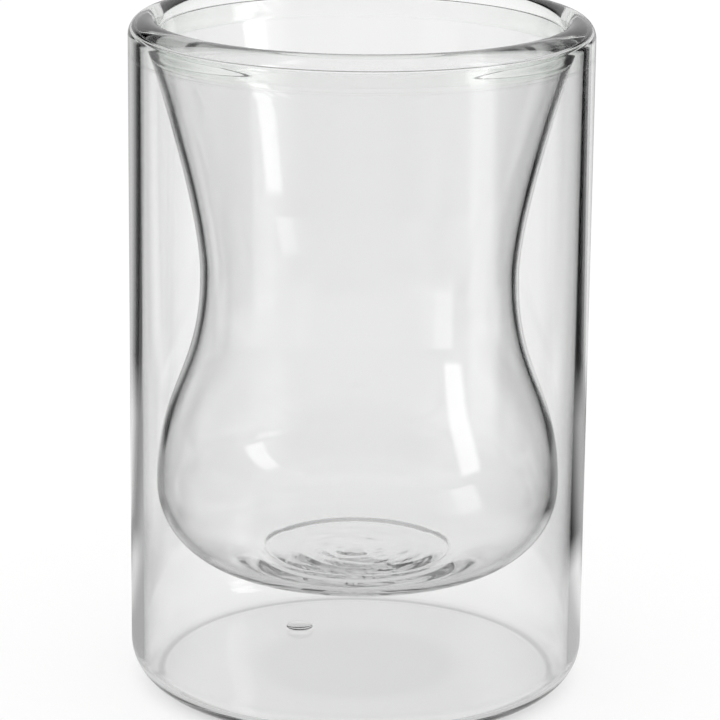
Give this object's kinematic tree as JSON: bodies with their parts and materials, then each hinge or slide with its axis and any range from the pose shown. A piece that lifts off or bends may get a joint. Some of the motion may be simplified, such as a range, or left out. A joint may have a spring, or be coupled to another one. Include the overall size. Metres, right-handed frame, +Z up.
{
  "type": "double walled glass cup",
  "caption": "Straight double walled drinking glass with an hourglass inner cup held by a fused rim over a sealed air gap.",
  "frame": {"origin": "centre of the flat base, on the surface the cup stands on", "axes": "+Z up along the cup's axis; the cup is round, so X and Y are any two level directions"},
  "size_m": [0.08, 0.08, 0.1184],
  "materials": {
    "clear_glass": "polished clear",
    "rim_glass": "fire polished, faint green edge"
  },
  "bodies": {
    "root": {"outer_shell": "clear_glass", "inner_liner": "clear_glass", "rim_bead": "rim_glass", "vent_seal": "clear_glass"}
  },
  "joints": []
}
